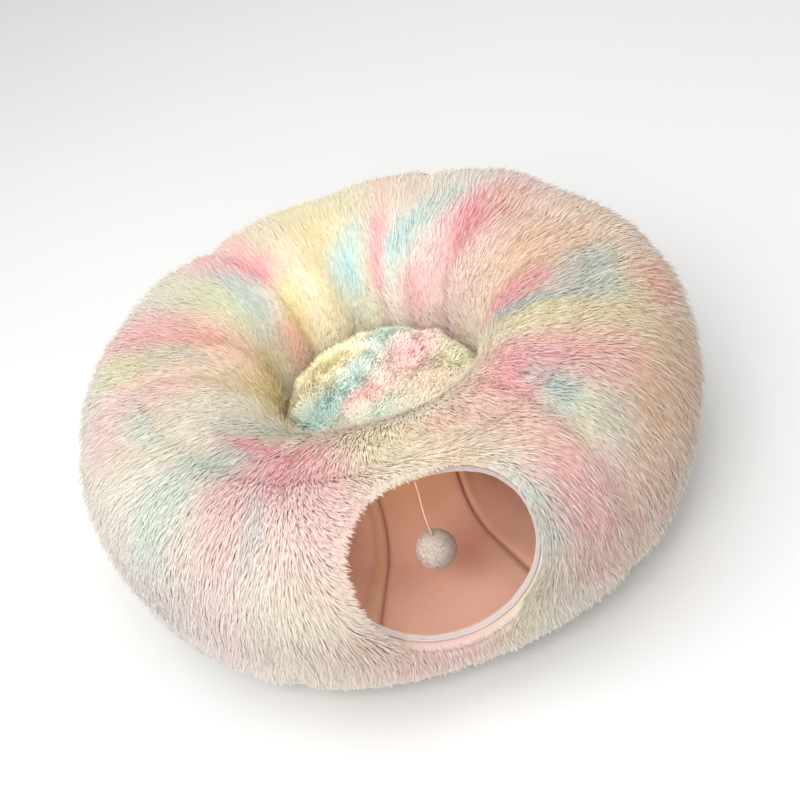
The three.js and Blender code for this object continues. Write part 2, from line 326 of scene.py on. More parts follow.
def applyModifier(piece, kind, **settings):
    selectOnly(piece)
    modifier = piece.modifiers.new(kind.lower(), kind)
    for key, value in settings.items():
        setattr(modifier, key, value)
    bpy.ops.object.modifier_apply(modifier=modifier.name)


# Quads between neighbouring closed rows of points, each row of that count.
def closedLoops(count, loops, wrapAround=False):
    here = np.arange(count)
    after = (here + 1) % count
    quads = []
    for loop in range(loops if wrapAround else loops - 1):
        first, second = loop * count, (loop + 1) % loops * count
        quads.append(np.stack([first + here, second + here, second + after, first + after], 1))
    return np.concatenate(quads)


# A tube through rings of points, closed by a fan to a middle point at each end.
def cappedTube(name, rings, ends):
    count, last = len(rings[0]), (len(rings) - 1) * len(rings[0])
    points = np.concatenate([*rings, *ends])
    here = np.arange(count)
    after = (here + 1) % count
    topCap = np.stack([here, after, np.full(count, len(points) - 2)], 1)
    lowCap = np.stack([last + after, last + here, np.full(count, len(points) - 1)], 1)
    return meshPiece(name, points, [closedLoops(count, len(rings)), topCap, lowCap])


# The string's route, as in the part's source: it hangs under the crest of the front panel.
string = {
    "diameter": 0.0024,
    "route": [(0.0, -0.262, 0.2409), (0.0008, -0.262, 0.20296),
              (-0.0008, -0.262, 0.16613), (0.0, -0.262, 0.1293)],
    "length": 0.1116,
    "steps": 36,
    "sides": 12,
    "strands": 3,
    "twists": 14.0,
    "groove": 0.00016,
}
pompom = {
    "middle": (0.0, -0.262, 0.106),
    "radius": 0.023,
    "coreRadius": 0.0219,
    "strandCount": 5200,
    "strandWidth": 0.0013,
    "coreDye": (0.86, 0.78, 0.7),
}


# Points along one smooth curve through the places.
def smoothRoute(places, steps):
    places = np.array(places)
    ends = [2 * places[0] - places[1], *places, 2 * places[-1] - places[-2]]
    points = []
    for i in range(len(places) - 1):
        a, b, c, d = ends[i:i + 4]
        for t in np.arange(steps) / steps:
            points.append(0.5 * (2 * b + (c - a) * t + (2 * a - 5 * b + 4 * c - d) * t ** 2
                                 + (3 * b - a - 3 * c + d) * t ** 3))
    points.append(places[-1])
    return np.array(points)


def makeString():
    route = smoothRoute(string["route"], string["steps"] // 3)
    angle = np.arange(string["sides"]) / string["sides"] * 2 * math.pi
    rows = []
    for index, place in enumerate(route):
        twist = index / (len(route) - 1) * string["twists"] * 2 * math.pi / string["strands"]
        ripple = np.cos(string["strands"] * (angle - twist)) * string["groove"]
        radius = string["diameter"] / 2 - string["groove"] + ripple
        rows.append(place + np.stack(
            [radius * np.cos(angle), radius * np.sin(angle), np.zeros(len(angle))], 1))
    return cappedTube("elastic_string", rows, (route[:1], route[-1:])), route


stringPiece, stringRoute = makeString()
print("string hangs")


# Pile as closed blades of four faces: each strand starts buried in the cloth, bends where it is
# widest and ends in a point. Its flat side faces the way given, so that strands lie like thatch.
# The map OFBake lays each one on its own small place.
def strandMesh(name, roots, middles, tips, facing, widths, tints, shades, places):
    count = len(roots)
    along = tips - roots
    sideways = np.cross(along, facing)
    sideways /= np.maximum(np.linalg.norm(sideways, axis=1, keepdims=True), 1e-9)
    half = sideways * widths[:, None] / 2
    points = np.stack([roots, middles - half, middles + half, tips], axis=1)
    base = np.arange(count)[:, None, None] * 4
    pattern = np.array([[0, 2, 1], [3, 1, 2], [0, 1, 3], [0, 3, 2]])
    inside = np.einsum("ij,ij->i", middles - (roots + tips) / 2, np.cross(sideways, along)) < 0
    faces = (base + np.where(inside[:, None, None], pattern[:, ::-1], pattern)).reshape(-1, 3)
    piece = meshPiece(name, points.reshape(-1, 3), faces)
    mesh = piece.data
    mesh.shade_flat()
    writeDye(mesh, np.repeat(tints, 4, axis=0))
    writeValues(mesh, "lengthwise", np.tile([0.0, 0.5, 0.5, 1.0], count))
    writeValues(mesh, "shade", np.repeat(shades, 4))
    size = 0.45 / math.sqrt(count)
    spots = np.array([[0, -2], [-1, 0], [1, 0], [0, 2]]) * size
    layout = (places[:, None, :] + spots).reshape(-1, 2)
    writeChart(mesh, "OFBake", layout[faces.ravel()].clip(0, 1))
    return piece


# Places that fill a unit square evenly, without rows.
def evenSpread(count, seed):
    index = np.arange(count) + 0.5
    return np.stack([(seed * 0.37 + index * 0.7548776662) % 1.0,
                     (seed * 0.61 + index * 0.5698402910) % 1.0], axis=1)


# Dye colours of the plush, as they look on the screen, and one brown used as painted shade.
palette = {
    "cream": (250, 241, 220),
    "ivory": (250, 245, 234),
    "paleYellow": (247, 238, 196),
    "yellow": (246, 230, 172),
    "gold": (246, 224, 150),
    "green": (228, 232, 178),
    "peach": (250, 218, 190),
    "apricot": (248, 202, 165),
    "coral": (248, 178, 162),
    "softPink": (252, 214, 212),
    "pink": (250, 180, 184),
    "rose": (250, 158, 168),
    "mint": (214, 238, 226),
    "teal": (178, 216, 214),
    "sky": (188, 224, 226),
    "greyMint": (206, 214, 202),
    "lavender": (226, 216, 226),
    "tan": (232, 208, 172),
    "salmonPink": (244, 176, 158),
    "paintedShade": (204, 176, 154),
}
# Soft patches of dye, and brown patches of painted shade where less light falls. The lean is how far a
# patch's top stands to the right of its middle.
dyePatches = [  # colour, azimuth, turn, half azimuth, half turn, lean, strength
    # broad grounds
    ("yellow", -168, 120, 20, 80, 0, 0.86), ("ivory", -90, 20, 50, 60, 0, 0.69),
    ("cream", -72, 106, 30, 40, 0, 0.69), ("gold", -102, 160, 42, 34, 0, 0.8),
    ("peach", 20, 100, 28, 42, 0, 0.41), ("tan", 66, 44, 28, 62, 0, 0.65),
    ("yellow", 64, 84, 14, 40, 0, 0.7), ("peach", 102, 110, 18, 80, 0, 0.8),
    ("softPink", 132, 130, 24, 60, 0, 0.8), ("yellow", 172, 110, 11.5, 60, 0, 0.69),
    # back left
    ("gold", -173, 112, 9, 22, 0, 0.86), ("sky", -182, 132, 8, 25, 0, 0.86),
    ("cream", -161, 120, 7, 40, 0, 0.6), ("gold", -150, 148, 6.5, 32, 4, 0.8),
    # Painted shade: the brown patch at azimuth -168, turn 112.
    ("paintedShade", -168, 112, 9, 20, 0, 0.3), ("pink", -147, 86, 10.5, 26, 2, 0.9),
    ("rose", -149, 105, 6.5, 15, 1, 0.95), ("salmonPink", -136, 160, 11.5, 20, -2, 0.85),
    ("teal", -137, 116, 7, 24, 3, 0.8), ("greyMint", -130, 136, 9, 35, 4, 0.85),
    ("green", -128, 104, 6.5, 25, 2, 0.69), ("greyMint", -127, 78, 8, 20, 0, 0.41),
    ("peach", -111, 118, 11.5, 38, 2, 0.8), ("pink", -114, 82, 9, 30, 3, 0.9),
    ("coral", -108, 117, 8, 27, 3, 0.66), ("greyMint", -100, 103, 5, 15, 3, 0.8),
    ("green", -100, 78, 8, 22, 3, 0.64), ("peach", -92, 116, 11.5, 25, 0, 0.69),
    ("pink", -89, 92, 8, 12, 0, 0.41), ("softPink", -89, 66, 8, 32, 2, 0.8),
    ("gold", -98, 165, 28, 16, 0, 0.69),
    # front left
    ("mint", -77, 80, 8, 9, 0, 0.52), ("softPink", -79, 56, 8, 15, 0, 0.52),
    ("mint", -53, 58, 6.5, 40, 1, 0.64), ("greyMint", -52, 110, 12, 11, 0, 0.47),
    ("pink", -40, 99, 13, 8, 0, 0.95), ("rose", -40, 100, 9, 5, 0, 0.36),
    ("teal", -42, 88, 9, 6, 0, 0.64), ("softPink", -38, 62, 8, 38, 0, 0.7),
    ("pink", -38, 76, 5, 20, 0, 0.2), ("sky", -32, 66, 2.5, 28, 0, 0.52),
    ("greyMint", -39, 124, 10.5, 8, 0, 0.64), ("lavender", -48, -12, 26, 42, 0, 0.58),
    # Painted shade: the brown patches at azimuth 18, turn -16 and azimuth 50, turn 4 darken the low
    # front and right, where less light falls.
    ("softPink", -42, 8, 11.5, 25, 0, 0.41), ("paintedShade", 18, -16, 50, 36, 0, 0.6),
    ("paintedShade", 50, 4, 20, 34, 0, 0.4), ("pink", 110, 2, 9, 36, 3, 0.4),
    ("sky", 92, -14, 8, 22, 0, 0.4), ("coral", 36, 6, 12, 24, 0, 0.4),
    # front panel
    ("softPink", -17, 56, 9, 60, 0, 0.6), ("peach", 14, 84, 16, 20, 0, 0.55),
    ("lavender", 19, 46, 5, 40, 0, 0.5), ("pink", -25, 90, 13, 16, 0, 0.92),
    ("rose", -29, 92, 7, 9, 0, 0.4), ("softPink", -23, 66, 9, 28, 0, 0.64),
    ("cream", -24, 10, 10.5, 40, 0, 0.69), ("paleYellow", -2, 98, 13, 18, 0, 0.8),
    ("coral", 12, 98, 10.5, 8, 0, 0.36), ("mint", 17, 34, 4.5, 40, -1, 0.8),
    ("peach", 24, 76, 8, 22, 0, 0.58), ("pink", 26, 28, 6.5, 46, 0, 0.8),
    ("coral", 29, 64, 5, 25, 0, 0.3), ("pink", -1, -10, 11.5, 18, 0, 0.7),
    # Painted shade: the brown patches near turn 0 at azimuths -5, -21 and 28 darken the fur below the
    # entrance's tape, and the one at azimuth 21, turn 34 darkens the fur right of the entrance.
    ("paintedShade", -5, -6, 16, 13, 0, 0.85), ("pink", -5, -7, 11, 11, 0, 0.45),
    ("paintedShade", -21, -2, 12, 10, 0, 0.25), ("salmonPink", 22, 0, 9, 13, 0, 0.55),
    ("paintedShade", 28, 3, 16, 16, 0, 0.4), ("paintedShade", 21, 34, 5, 15, 0, 0.45),
    ("green", 10, -8, 5, 22, 0, 0.47), ("greyMint", 18, -22, 11.5, 28, 0, 0.47),
    # front right
    ("pink", 37, 101, 14.5, 16, 0, 0.86), ("rose", 36, 98, 9, 8, 0, 0.36),
    ("teal", 37, 80, 6.5, 13, 3, 0.85), ("green", 36, 62, 5, 15, 0, 0.47),
    ("greyMint", 40, 48, 6.5, 18, 2, 0.64), ("pink", 48, 80, 8, 42, -4, 0.78),
    ("apricot", 49, 26, 11.5, 30, 0, 0.69), ("tan", 59, 40, 8, 32, 0, 0.47),
    ("paleYellow", 61, 108, 9, 20, 0, 0.7), ("teal", 71.5, 114, 5.5, 34, 1, 0.85),
    ("pink", 81, 118, 9, 32, 3, 0.92), ("rose", 81, 114, 5, 22, 2, 0.41),
    ("teal", 80, 80, 11.5, 12, 0, 0.64), ("coral", 77, 46, 9, 18, 0, 0.75),
    ("coral", 64, 12, 8, 18, 0, 0.36),
    # back right
    ("apricot", 97, 94, 12, 30, 0, 0.6), ("pink", 126, 104, 11.5, 30, 2, 0.86),
    ("rose", 127, 107, 6.5, 19, 1, 0.52), ("apricot", 121, 84, 10.5, 15, 0, 0.47),
    ("pink", 146, 156, 8, 20, 2, 0.69), ("mint", 152, 122, 8, 34, 9, 0.92),
    ("teal", 152, 120, 5, 25, 8, 0.58), ("mint", 142, 96, 6.5, 18, 0, 0.47),
    ("pink", 163, 130, 4.5, 40, 0, 0.86), ("rose", 163, 112, 4, 18, 0, 0.36),
    ("sky", 175, 132, 6.5, 30, 4, 0.8), ("peach", 153, 84, 11.5, 18, 0, 0.52),
    # outside of the back, past the camera's sight
    ("pink", -146, 10, 8, 50, 0, 0.47), ("greyMint", -128, 10, 9, 50, 0, 0.41),
    ("softPink", -112, 10, 9, 50, 0, 0.52), ("mint", -98, 10, 8, 40, 0, 0.41),
    ("coral", 112, 10, 11.5, 50, 0, 0.36), ("pink", 128, 10, 9, 60, 0, 0.47),
    ("mint", 145, 20, 9, 60, 0, 0.52), ("pink", 162, 20, 6.5, 60, 0, 0.52),
    ("sky", 175, 20, 6.5, 50, 0, 0.41),
]


def screenToLight(colour):
    share = np.asarray(colour, float) / 255.0
    return np.where(share <= 0.04045, share / 12.92, ((share + 0.055) / 1.055) ** 2.4)


# The plush's colour at a place: soft patches over a cream ground, uneven as dye is, with some brown
# patches of painted shade.
def dyeColour(azimuth, turn, points):
    wavy = azimuth + 2.2 * softNoise(points, 0.055, 3) + 1.2 * softNoise(points, 0.018, 4)
    around = turn + 5.0 * softNoise(points, 0.06, 5) + 2.5 * softNoise(points, 0.02, 6)
    paler = softStep(softNoise(points, 0.09, 7), -0.6, 0.7)[:, None]
    tint = screenToLight(palette["cream"]) * (1 - paler) + screenToLight(palette["ivory"]) * paler
    patchy = 0.9 + 0.16 * softNoise(points, 0.03, 8)
    for colour, middle, middleTurn, half, halfTurn, lean, strength in dyePatches:
        along = (around - middleTurn) / halfTurn
        across = wrapDegrees(wavy - middle - lean * along) / half
        weight = np.exp(-(across ** 2 + along ** 2) ** 1.25) * strength * patchy
        weight = np.clip(weight, 0, 1)[:, None]
        tint = tint * (1 - weight) + screenToLight(palette[colour]) * weight
    low = softStep(-turn, -40, 40)[:, None] * 0.35
    return tint * (1 - low) + screenToLight(palette["ivory"]) * low


# The pile: strands over the plush, combed in the photo's directions.
pile = {
    "clothDepth": 0.0046,
    "buried": 0.0012,
    "perSquareMetre": 171000,
    "lowestTurn": -66.0,
    "highestTurn": 187.0,
    "length": 0.0280,
    "width": 0.0022,
    "rootRise": 7.0,
    "tipRise": 6.0,
    "uprightRise": 24.0,
    "strays": 0.09,
    "strayRise": 20.0,
    "rimStrands": 1700,
    "edgeStrands": 1700,
    "clumpSize": 0.0090,
    "clumping": 0.18,
    "floorClearance": 0.0008,
}


# The plush cloth lies under its pile, and on the floor its pile is pressed flat.
def clothDepth(turn):
    pressed = softStep(np.abs(wrapDegrees(turn - 90.0)), 136, 164)
    return pile["clothDepth"] + (0.0009 - pile["clothDepth"]) * pressed


def clothPoint(azimuth, turn, lift=0.0):
    return ringPoint(azimuth, turn, clothDepth(turn) + foldDepth(azimuth, turn) - lift)


# The cloth's point and normal, and its metres for a degree of azimuth and of turn.
def clothAxes(azimuth, turn):
    aside = (clothPoint(azimuth + 0.6, turn) - clothPoint(azimuth - 0.6, turn)) / 1.2
    upward = (clothPoint(azimuth, turn + 1.5) - clothPoint(azimuth, turn - 1.5)) / 3.0
    outward = np.cross(aside, upward)
    outward /= np.linalg.norm(outward, axis=1, keepdims=True)
    return (clothPoint(azimuth, turn), outward, np.linalg.norm(aside, axis=1),
            np.linalg.norm(upward, axis=1))


# How much the pile leans over the entrance's edge, for a direction from its middle.
def leaning(aside, above):
    over = softStep(-aside, -0.2, 0.5) * softStep(above, -0.8, -0.3)
    return over + 0.7 * softStep(above, 0.3, 0.9) * (1 - softStep(aside, 0, 0.5))


# Which way the pile is combed: its share to the right and up the turn, and how upright it stands
# from 0 to 1.
def layDirection(azimuth, turn, points):
    right, up = np.zeros(len(azimuth)), -np.ones(len(azimuth))
    aside, above = entrancePlace(azimuth, turn)
    far = np.hypot(aside, above)
    aside, above = aside / far, above / far
    near = 1 - softStep(far, 0.115, 0.185)
    onRight = softStep(aside, -0.5, 0.2)
    flowRight = onRight * above + (1 - onRight) * 0.70
    flowUp = onRight * -aside + (1 - onRight) * -0.70
    under = softStep(-above, 0.55, 0.9)
    flowRight, flowUp = flowRight * (1 - under), flowUp * (1 - under) - under
    right, up = right * (1 - near) + flowRight * near, up * (1 - near) + flowUp * near
    # The last rows lean over the edge, most at the left and the top.
    edge = 1 - softStep(far, 0.112, 0.126)
    over = leaning(aside, above)
    lean = edge * (0.5 + 2.2 * over)
    right, up = right - aside * lean, up - above * lean
    leftFront = 1 - softStep(np.abs(wrapDegrees(azimuth + 40)), 18, 44)
    sway = 0.34 * softNoise(points, 0.045, 11) + 0.18 * softNoise(points, 0.016, 12)
    angle = np.arctan2(up, right) + sway * (1 - 0.6 * near)
    upright = 0.08 + 0.22 * leftFront + 0.10 * near * (1 - onRight)
    upright = np.clip(upright + 0.14 * softNoise(points, 0.03, 13) + 0.2 * edge, 0, 1)
    shorter = 0.25 * edge * (1 - np.clip(over, 0, 1))
    return np.cos(angle), np.sin(angle), upright, shorter


# Even places over a panel, as azimuth and turn.
def panelRoots(start, end, number):
    azimuths = np.linspace(start, end, 25)[:, None]
    turns = np.linspace(pile["lowestTurn"], pile["highestTurn"], 128)
    grid = clothPoint(azimuths, turns)
    acrossSteps = np.linalg.norm(np.diff(grid, axis=0), axis=2)
    alongSteps = np.linalg.norm(np.diff(grid, axis=1), axis=2)
    area = float((acrossSteps[:, :-1] * alongSteps[:-1]).sum())
    lengths = np.concatenate([[0], np.cumsum(alongSteps[12])])
    share = acrossSteps.mean(0) / acrossSteps.mean(0).max()
    wanted = int(area * pile["perSquareMetre"] / share.mean())
    spots = evenSpread(wanted, number)
    turn = np.interp(spots[:, 1] * lengths[-1], lengths, turns)
    azimuth = start + spots[:, 0] * (end - start)
    chance = np.random.default_rng(40 + number).random(wanted)
    keep = chance < np.interp(turn, turns, share)
    aside, above = entrancePlace(azimuth, turn)
    clear = entrance["bindingThickness"] + entrance["bindingGap"] + 0.0006
    keep &= np.hypot(aside, above) > entrance["radius"] + clear
    azimuth, turn = azimuth[keep], turn[keep]
    if start < 0 < end:
        random = np.random.default_rng(8)
        angle = random.uniform(0, 2 * math.pi, pile["rimStrands"])
        outwards = clear + random.uniform(0, 0.004, pile["rimStrands"])
        rimAzimuth, rimTurn = entranceAngles(angle, outwards)
        azimuth, turn = np.append(azimuth, rimAzimuth), np.append(turn, rimTurn)
    return azimuth, turn


# Short strands on the cloth's cut edge, which run from the tape up over the cloth.
def rimPile():
    random = np.random.default_rng(9)
    angle = random.uniform(0, 2 * math.pi, pile["edgeStrands"])
    angle = angle[random.random(len(angle)) > leaning(np.cos(angle), np.sin(angle))]
    count = len(angle)
    clear = entrance["bindingThickness"] + entrance["bindingGap"]
    sway = random.normal(0, 0.045, count)
    reach, rise = random.uniform(0.005, 0.017, count), random.uniform(0.0006, 0.0040, count)
    roots = entrancePoint(angle, clear, random.uniform(0.0096, 0.0108, count))
    bend = random.uniform(0.0028, 0.0046, count)
    flared = clear + (entrance["bindingTop"] - bend) * entrance["flare"]
    middles = entrancePoint(angle + 0.4 * sway, flared - 0.0012, bend)
    tips = entrancePoint(angle + sway, clear + reach, pile["clothDepth"] - rise)
    towards = entrancePoint(angle, clear - 0.004, pile["clothDepth"] - 0.004) - roots
    facing = towards / np.linalg.norm(towards, axis=1, keepdims=True)
    azimuth, turn = entranceAngles(angle, clear + reach)
    return roots, middles, tips, facing, azimuth, turn


# For each place the middle of the lock of pile that it belongs to.
def clumpCentres(azimuth, turn, number):
    scaleA, scaleT = 0.27 * math.pi / 180 / pile["clumpSize"], 0.00325 / pile["clumpSize"]
    u, v = azimuth * scaleA, turn * scaleT
    best, bestU, bestV = np.full(len(u), np.inf), u.copy(), v.copy()
    for i, j in itertools.product((-1, 0, 1), repeat=2):
        cellU, cellV = np.floor(u) + i, np.floor(v) + j
        cells = np.stack([cellU, cellV, np.full(len(u), float(number))], 1)
        middleU, middleV = cellU + hashed(cells, 21), cellV + hashed(cells, 22)
        gap = (middleU - u) ** 2 + (middleV - v) ** 2
        nearer = gap < best
        best = np.where(nearer, gap, best)
        bestU, bestV = np.where(nearer, middleU, bestU), np.where(nearer, middleV, bestV)
    return bestU / scaleA, bestV / scaleT


def makePile(name, start, end, number):
    random = np.random.default_rng(number)
    azimuth, turn = panelRoots(start, end, number)
    point, outward, perAzimuth, perTurn = clothAxes(azimuth, turn)
    right, up, upright, shorter = layDirection(azimuth, turn, point)
    count = len(azimuth)
    sway = random.normal(0, 0.13, count)
    right, up = (right * np.cos(sway) - up * np.sin(sway), right * np.sin(sway) + up * np.cos(sway))
    stray = random.random(count) < pile["strays"]
    higher = pile["uprightRise"] * upright + pile["strayRise"] * stray
    higher = higher + random.normal(0, 2.0, count)
    rootRise = np.radians(pile["rootRise"] + higher)
    tipRise = np.radians(pile["tipRise"] + higher)
    length = pile["length"] * (1 - 0.36 * upright - 0.2 * stray)
    length = length * random.uniform(0.8, 1.15, count)
    length = length * (1 - shorter) * (1 - 0.5 * softStep(-turn, 0, 45))
    length = length * (1 - 0.35 * softStep(seamDepth(azimuth, turn), 0.001, 0.005))

    # A strand follows the cloth's curve: it rises to its bend and then lies nearly flat.
    def onCloth(along, height):
        return clothPoint(azimuth + right * along / perAzimuth, turn + up * along / perTurn, height)

    bend, bendHeight = 0.5 * length * np.cos(rootRise), 0.5 * length * np.sin(rootRise)
    reach = bend + 0.5 * length * np.cos(tipRise)
    tipHeight = bendHeight + 0.5 * length * np.sin(tipRise)
    middles, tips = onCloth(bend, bendHeight), onCloth(reach, tipHeight)
    beside = np.hypot(*entrancePlace(azimuth, turn)) - entrance["radius"]
    sunk = 0.0034 * (1 - softStep(beside, 0.0052, 0.0076))
    roots = point - outward * (pile["buried"] + sunk)[:, None]
    clumpAzimuth, clumpTurn = clumpCentres(azimuth, turn, number)
    towards = clothPoint(clumpAzimuth, clumpTurn) - point
    towards -= outward * (towards * outward).sum(1, keepdims=True)
    tips = tips + towards * pile["clumping"]
    middles = middles + towards * pile["clumping"] * 0.3
    for places in (middles, tips):
        places[:, 2] = np.maximum(places[:, 2], pile["floorClearance"])
    widths = pile["width"] * random.uniform(0.75, 1.2, count) * (1 - 0.45 * stray)
    # The dye is that of the place where the strand shows, beyond its bend.
    shownAzimuth = azimuth + right * reach * 0.62 / perAzimuth + random.normal(0, 0.8, count)
    shownTurn = turn + up * reach * 0.62 / perTurn + random.normal(0, 1.4, count)
    tints = dyeColour(shownAzimuth, shownTurn, middles)
    # Strands are a little paler at random. Stray ones, which stand out at the edges, are much paler: a
    # painted highlight.
    paleToneAndStrayHighlight = (random.uniform(0, 1, count) ** 2 * 0.1 + 0.4 * stray)[:, None]
    tints = tints * (1 - paleToneAndStrayHighlight) + screenToLight((255, 250, 244)) * paleToneAndStrayHighlight
    shades = random.uniform(0, 1, count)
    places = np.stack([(azimuth - start) / (end - start),
                       (turn - pile["lowestTurn"]) / (pile["highestTurn"] - pile["lowestTurn"])], 1)
    places = 0.01 + places * 0.98
    if start < 0 < end:
        rim = rimPile()
        number = len(rim[0])
        roots, middles, tips, outward = (
            np.concatenate(pair) for pair in zip((roots, middles, tips, outward), rim[:4]))
        widths = np.append(widths, random.uniform(0.0010, 0.0019, number))
        tints = np.concatenate([tints, dyeColour(rim[4], rim[5], rim[2])])
        shades = np.append(shades, random.uniform(0, 1, number))
        places = np.concatenate([places, 0.002 + 0.006 * random.random((number, 2))])
    return strandMesh(name, roots, middles, tips, outward, widths, tints, shades, places)


# Materials. A value that is the same all over a surface is set on the shader itself.
finishes = {
    "pile": {"roughness": 0.92, "sheen": 0.25, "rootPaintedLight": 0.3,
             "shadeFrom": 0.88, "shadeTo": 0.96},
    "backing": {"roughness": 0.96, "knitSize": 0.0016, "bump": 0.35},
    "lining": {"floor": (244, 198, 178), "wall": (228, 180, 138), "fold": (220, 184, 142),
               "seamStitchAndShade": (168, 120, 88), "roughness": 0.82, "sheen": 0.3},
    "binding": {"colour": (232, 218, 214), "shadow": (206, 192, 190), "roughness": 0.7,
                "weave": 5200.0},
    "string": {"colour": (244, 206, 188), "shadow": (226, 178, 158), "roughness": 0.6,
               "weave": 9000.0},
    "pompom": {"colour": (212, 202, 192), "roughness": 0.95},
    "floor": {"from": (248, 248, 248), "to": (251, 251, 251), "roughness": 0.9},
}


def newMaterial(name, roughness, sheen=0.0):
    material = bpy.data.materials.new(name)
    material.use_nodes = True
    shader = material.node_tree.nodes["Principled BSDF"]
    shader.inputs["Roughness"].default_value = roughness
    shader.inputs["Specular IOR Level"].default_value = 0.2
    shader.inputs["Sheen Weight"].default_value = sheen
    shader.inputs["Sheen Roughness"].default_value = 0.6
    return material, shader


# A node with its settings. An input is another node's output or a plain value.
def addNode(material, kind, inputs=None, **settings):
    node = material.node_tree.nodes.new(kind)
    for key, value in settings.items():
        setattr(node, key, value)
    for key, value in (inputs or {}).items():
        if isinstance(value, bpy.types.NodeSocket):
            material.node_tree.links.new(value, node.inputs[key])
        else:
            node.inputs[key].default_value = value
    return node


def feed(material, output, shader, socket):
    material.node_tree.links.new(output, shader.inputs[socket])


# What a piece's own attribute says.
def marked(material, name, output="Fac"):
    return addNode(material, "ShaderNodeAttribute", attribute_name=name).outputs[output]


def noise(material, place, scale, detail=2.0, roughness=0.5):
    return addNode(material, "ShaderNodeTexNoise", {
        "Vector": place, "Scale": scale, "Detail": detail, "Roughness": roughness}).outputs["Fac"]


def reckon(material, first, second, operation="MULTIPLY"):
    return addNode(material, "ShaderNodeMath", {0: first, 1: second}, operation=operation).outputs[0]


def feedColour(material, shader, colour, value):
    tint = addNode(material, "ShaderNodeHueSaturation", {"Color": colour, "Value": value})
    feed(material, tint.outputs["Color"], shader, "Base Color")


def feedBump(material, shader, height, strength, distance):
    bump = addNode(material, "ShaderNodeBump", {
        "Height": height, "Strength": strength, "Distance": distance})
    feed(material, bump.outputs["Normal"], shader, "Normal")


def lightColour(colour):
    return (*[float(x) for x in screenToLight(colour)], 1.0)


def mixColours(material, share, first, second):
    node = addNode(material, "ShaderNodeMix", data_type="RGBA")
    for socket, value in zip((node.inputs[0], node.inputs[6], node.inputs[7]), (share, first, second)):
        if isinstance(value, bpy.types.NodeSocket):
            material.node_tree.links.new(value, socket)
        else:
            socket.default_value = value
    return node.outputs[2]


def mapRange(material, value, low, high, toLow, toHigh):
    return addNode(material, "ShaderNodeMapRange", {
        "Value": value, "From Min": low, "From Max": high, "To Min": toLow, "To Max": toHigh,
    }).outputs["Result"]


def surfacePlace(material):
    return addNode(material, "ShaderNodeTexCoord").outputs["Object"]


def pileMaterial():
    settings = finishes["pile"]
    material, shader = newMaterial("tie_dyed_pile", settings["roughness"], settings["sheen"])
    dye = marked(material, "dye", "Color")
    lengthwise = marked(material, "lengthwise")
    shade = marked(material, "shade")
    mottle = noise(material, surfacePlace(material), 160.0)
    # Roots are painted paler: painted light that lifts the shade deep between the strands.
    paintedRootShading = mapRange(material, lengthwise, 0.1, 0.75, settings["rootPaintedLight"], 0.0)
    dye = mixColours(material, paintedRootShading, dye, lightColour((255, 252, 246)))
    strand = mapRange(material, shade, 0.0, 1.0, settings["shadeFrom"], settings["shadeTo"])
    mottled = mapRange(material, mottle, 0.3, 0.7, 0.96, 1.03)
    feedColour(material, shader, dye, reckon(material, strand, mottled))
    return material


# The plush's knitted ground, which shows between the strands and underneath.
def backingMaterial():
    settings = finishes["backing"]
    material, shader = newMaterial("plush_backing", settings["roughness"], 0.2)
    dye = marked(material, "dye", "Color")
    place = surfacePlace(material)
    knit = addNode(material, "ShaderNodeTexVoronoi", {
        "Vector": place, "Scale": 1.0 / settings["knitSize"]}).outputs["Distance"]
    crushed = noise(material, place, 90.0, 6.0, 0.7)
    feedColour(material, shader, dye, mapRange(material, crushed, 0.25, 0.75, 0.92, 1.0))
    feedBump(material, shader, reckon(material, knit, crushed, "ADD"), settings["bump"], 0.002)
    return material


# Brushed polyester: rosy on the tunnel's floor, tan on its walls, with a fine nap.
def liningMaterial():
    settings = finishes["lining"]
    material, shader = newMaterial("lining_cloth", settings["roughness"], settings["sheen"])
    place = surfacePlace(material)
    height = addNode(material, "ShaderNodeSeparateXYZ", {"Vector": place}).outputs["Z"]
    share = mapRange(material, height, 0.03, 0.13, 0.0, 1.0)
    ground = mixColours(material, share, lightColour(settings["floor"]), lightColour(settings["wall"]))
    nap = noise(material, place, 900.0, 3.0, 0.7)
    tone = mapRange(material, noise(material, place, 14.0, 3.0), 0.3, 0.7, 0.93, 1.05)
    fine = mapRange(material, nap, 0.3, 0.7, 0.96, 1.03)
    # Seams are darkened for their stitching and for painted shade in their grooves.
    for mark, most in (("fold", 0.55), ("seamStitchAndShade", 0.75)):
        share = mapRange(material, marked(material, mark), 0.0, 1.0, 0.0, most)
        ground = mixColours(material, share, ground, lightColour(settings[mark]))
    feedColour(material, shader, ground, reckon(material, tone, fine))
    feedBump(material, shader, nap, 0.25, 0.0005)
    feed(material, mapRange(material, nap, 0.3, 0.7, 0.76, 0.9), shader, "Roughness")
    return material


# Plain woven tape or braid, on the piece's own map in metres.
def wovenMaterial(name, settings, mapName):
    material, shader = newMaterial(name, settings["roughness"], 0.15)
    chart = addNode(material, "ShaderNodeUVMap", uv_map=mapName).outputs["UV"]
    scaled = addNode(material, "ShaderNodeMapping", {
        "Vector": chart, "Scale": (settings["weave"], settings["weave"], 1.0)})
    parts = addNode(material, "ShaderNodeSeparateXYZ", {"Vector": scaled.outputs["Vector"]})
    waves = [addNode(material, "ShaderNodeMath", {0: parts.outputs[axis]}, operation="SINE").outputs[0]
             for axis in ("X", "Y")]
    share = mapRange(material, reckon(material, *waves), -1.0, 1.0, 0.0, 1.0)
    tint = mixColours(material, share, lightColour(settings["shadow"]), lightColour(settings["colour"]))
    feed(material, tint, shader, "Base Color")
    feedBump(material, shader, share, 0.5, 0.0003)
    return material


